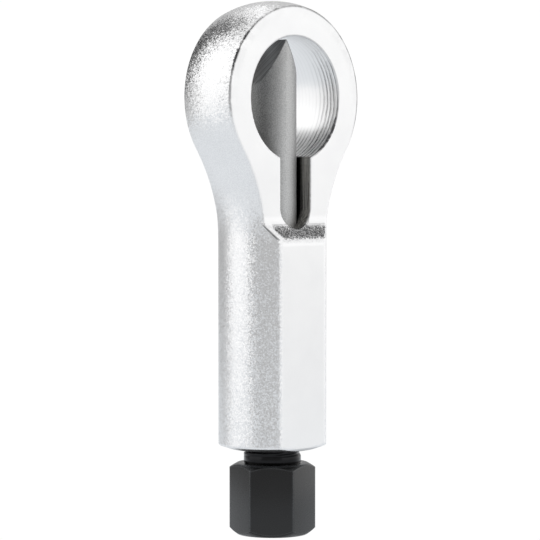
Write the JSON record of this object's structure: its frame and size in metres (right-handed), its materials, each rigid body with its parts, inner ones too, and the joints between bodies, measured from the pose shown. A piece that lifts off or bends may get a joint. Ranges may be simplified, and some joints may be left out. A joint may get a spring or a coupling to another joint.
{
  "type": "nut splitter",
  "caption": "Screw-driven nut splitter: a ring head on a round shank, with a bevelled cutter that a hex-headed screw pushes across the hole to crack a seized nut.",
  "frame": {"origin": "centre of the hexagon's outer end, the lowest point of the tool as shown", "axes": "+Z along the screw towards the ring head, front face of the head towards -Y, +X to the right seen from the front"},
  "size_m": [0.0334, 0.0154, 0.0926],
  "materials": {
    "plated_steel": "shot-blasted and bright plated",
    "tool_steel": "hardened, ground bevels",
    "black_steel": "black oxide, satin"
  },
  "bodies": {
    "body": {"body": "plated_steel"},
    "cutter": {"cutter": "tool_steel"},
    "drive_screw": {"drive_screw": "black_steel"}
  },
  "joints": [
    {"name": "cutter_slide", "type": "slide", "parent": "body", "child": "cutter", "axis": [0, 0, 1], "range_m": [-0.0214, 0]},
    {"name": "screw_turn", "type": "hinge", "parent": "cutter", "child": "drive_screw", "pos_m": [0, 0, 0.0464], "axis": [0, 0, 1], "range_deg": [-5140, 1]}
  ],
  "couplings": [
    {"joint": "screw_turn", "follows": "cutter_slide", "rad_per_m": 4188.8}
  ]
}
